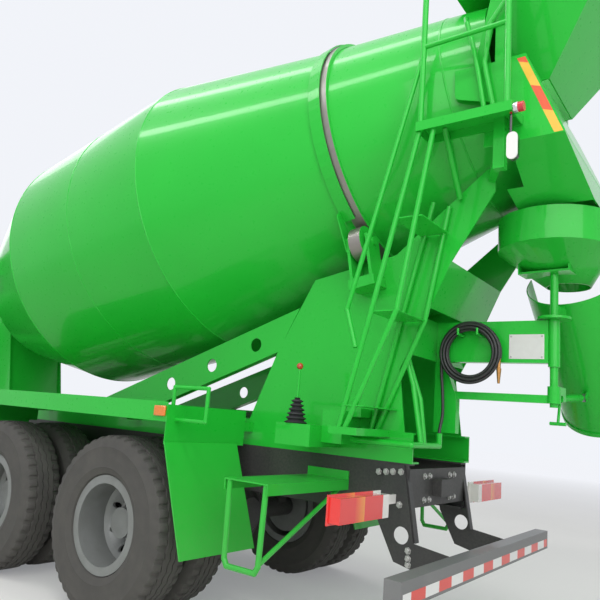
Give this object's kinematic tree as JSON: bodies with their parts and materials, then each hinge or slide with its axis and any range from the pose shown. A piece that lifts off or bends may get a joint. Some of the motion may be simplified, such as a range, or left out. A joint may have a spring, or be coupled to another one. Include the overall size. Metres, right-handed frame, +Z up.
{
  "type": "concrete mixer truck",
  "caption": "Green concrete mixer truck: forward cab, drive tandem, tilted mixing drum on rollers, feed hopper, collector, swivelling chute with screw jack, ladder and water hose.",
  "frame": {"origin": "bottom centre of the bounding box: on the ground, midway along and across the truck", "axes": "+X points forward to the cab, +Y to the left side, +Z up"},
  "size_m": [9.525, 2.82, 4.06],
  "materials": {
    "paint_green": "gloss",
    "paint_dark": "satin",
    "tyre_rubber": "matte",
    "rim_steel": "satin",
    "grey_paint": "satin",
    "race_steel": "brushed",
    "lamp_lens": "gloss",
    "headlamp_lens": "gloss",
    "window_glass": "clear",
    "seat_fabric": "woven",
    "trim_plastic": "matte",
    "hose_rubber": "matte",
    "nozzle_brass": "satin"
  },
  "bodies": {
    "truck": {"chassis_frame": "paint_dark", "body_frame": "paint_green", "engine_block": "paint_dark", "front_axle": "paint_dark", "drive_axles": "paint_dark", "fuel_tank": "grey_paint", "air_tanks": "paint_dark", "front_bumper": "paint_green", "headlamps": "headlamp_lens", "tail_lamps": "lamp_lens", "mudguards": "paint_green", "side_steps": "paint_green", "underrun_bar": "grey_paint", "drum_drive": "grey_paint", "drum_pedestal": "paint_green", "access_ladder": "paint_green", "feed_hopper": "paint_green", "discharge_collector": "paint_green", "swivel_arm": "paint_green", "hose_coil": "hose_rubber", "hose_tail": "hose_rubber", "hose_nozzle": "nozzle_brass", "control_box": "paint_green", "water_tank": "paint_green", "water_pipes": "paint_green", "raceway_guard": "paint_green"},
    "knuckle_left": {"knuckle_left": "paint_dark"},
    "knuckle_right": {"knuckle_right": "paint_dark"},
    "track_rod": {"track_rod": "paint_dark"},
    "front_wheel_left": {"front_tyre_left": "tyre_rubber", "front_rim_left": "rim_steel"},
    "front_wheel_right": {"front_tyre_right": "tyre_rubber", "front_rim_right": "rim_steel"},
    "middle_wheels_left": {"middle_tyres_left": "tyre_rubber", "middle_rims_left": "rim_steel"},
    "middle_wheels_right": {"middle_tyres_right": "tyre_rubber", "middle_rims_right": "rim_steel"},
    "rear_wheels_left": {"rear_tyres_left": "tyre_rubber", "rear_rims_left": "rim_steel"},
    "rear_wheels_right": {"rear_tyres_right": "tyre_rubber", "rear_rims_right": "rim_steel"},
    "cab": {"cab_shell": "paint_green", "cab_glass": "window_glass", "seats": "seat_fabric", "dashboard": "trim_plastic", "mirrors": "trim_plastic"},
    "door_left": {"door_left": "paint_green", "door_glass_left": "window_glass"},
    "door_right": {"door_right": "paint_green", "door_glass_right": "window_glass"},
    "drum": {"drum_shell": "paint_green", "raceway": "paint_green"},
    "roller_left": {"roller_left": "paint_green"},
    "roller_right": {"roller_right": "paint_green"},
    "chute_post": {"chute_post": "paint_green"},
    "chute": {"discharge_chute": "paint_green"},
    "jack_barrel": {"jack_barrel": "paint_green"},
    "jack_rod": {"jack_rod": "race_steel"}
  },
  "joints": [
    {"name": "steer_left", "type": "hinge", "parent": "truck", "child": "knuckle_left", "pos_m": [3.2625, 0.85, 0.535], "axis": [0, 0, 1], "range_deg": [-35, 35]},
    {"name": "steer_right", "type": "hinge", "parent": "truck", "child": "knuckle_right", "pos_m": [3.2625, -0.85, 0.535], "axis": [0, 0, 1], "range_deg": [-35, 35]},
    {"name": "track_rod_turn", "type": "hinge", "parent": "knuckle_left", "child": "track_rod", "pos_m": [3.0725, 0.85, 0.398], "axis": [0, 0, 1], "range_deg": [-35, 35]},
    {"name": "front_left_spin", "type": "hinge", "parent": "knuckle_left", "child": "front_wheel_left", "pos_m": [3.2625, 1.011, 0.535], "axis": [0, 1, 0], "continuous": true},
    {"name": "front_right_spin", "type": "hinge", "parent": "knuckle_right", "child": "front_wheel_right", "pos_m": [3.2625, -1.011, 0.535], "axis": [0, 1, 0], "continuous": true},
    {"name": "middle_left_spin", "type": "hinge", "parent": "truck", "child": "middle_wheels_left", "pos_m": [-0.5625, 0.915, 0.535], "axis": [0, 1, 0], "continuous": true},
    {"name": "middle_right_spin", "type": "hinge", "parent": "truck", "child": "middle_wheels_right", "pos_m": [-0.5625, -0.915, 0.535], "axis": [0, 1, 0], "continuous": true},
    {"name": "rear_left_spin", "type": "hinge", "parent": "truck", "child": "rear_wheels_left", "pos_m": [-1.9125, 0.915, 0.535], "axis": [0, 1, 0], "continuous": true},
    {"name": "rear_right_spin", "type": "hinge", "parent": "truck", "child": "rear_wheels_right", "pos_m": [-1.9125, -0.915, 0.535], "axis": [0, 1, 0], "continuous": true},
    {"name": "cab_tilt", "type": "hinge", "parent": "truck", "child": "cab", "pos_m": [4.5375, 0, 1.02], "axis": [0, 1, 0], "range_deg": [0, 50]},
    {"name": "door_left_swing", "type": "hinge", "parent": "cab", "child": "door_left", "pos_m": [4.4805, 1.164, 1.6], "axis": [0, 0, -1], "range_deg": [0, 70]},
    {"name": "door_right_swing", "type": "hinge", "parent": "cab", "child": "door_right", "pos_m": [4.4805, -1.164, 1.6], "axis": [0, 0, 1], "range_deg": [0, 70]},
    {"name": "drum_spin", "type": "hinge", "parent": "truck", "child": "drum", "pos_m": [-3.0575, 0, 3.165], "axis": [0.9816, 0, -0.1908], "continuous": true},
    {"name": "roller_left_spin", "type": "hinge", "parent": "truck", "child": "roller_left", "pos_m": [-3.21289, 0.50888, 2.36558], "axis": [0.9816, 0, -0.1908], "continuous": true},
    {"name": "roller_right_spin", "type": "hinge", "parent": "truck", "child": "roller_right", "pos_m": [-3.21289, -0.50888, 2.36558], "axis": [0.9816, 0, -0.1908], "continuous": true},
    {"name": "chute_swivel", "type": "hinge", "parent": "truck", "child": "chute_post", "pos_m": [-4.2325, 0, 1.8], "axis": [0, 0, -1], "range_deg": [0, 120]},
    {"name": "chute_tilt", "type": "hinge", "parent": "chute_post", "child": "chute", "pos_m": [-4.24165, -0.1046, 2.005], "axis": [-0.9962, 0.0872, 0], "range_deg": [0, 28]},
    {"name": "jack_swing", "type": "hinge", "parent": "chute_post", "child": "jack_barrel", "pos_m": [-4.23904, -0.07471, 1.495], "axis": [-0.9962, 0.0872, 0], "range_deg": [0, 21.3]},
    {"name": "jack_extend", "type": "slide", "parent": "jack_barrel", "child": "jack_rod", "axis": [-0.0868, -0.9922, 0.0895], "range_m": [0, 0.24]}
  ],
  "couplings": [
    {"joint": "steer_right", "follows": "steer_left", "ratio": 1},
    {"joint": "track_rod_turn", "follows": "steer_left", "ratio": -1},
    {"joint": "roller_left_spin", "follows": "drum_spin", "ratio": -7.7273},
    {"joint": "roller_right_spin", "follows": "drum_spin", "ratio": -7.7273},
    {"joint": "jack_swing", "follows": "chute_tilt", "ratio": 0.72383},
    {"joint": "jack_extend", "follows": "chute_tilt", "m_per_rad": 0.48038}
  ]
}
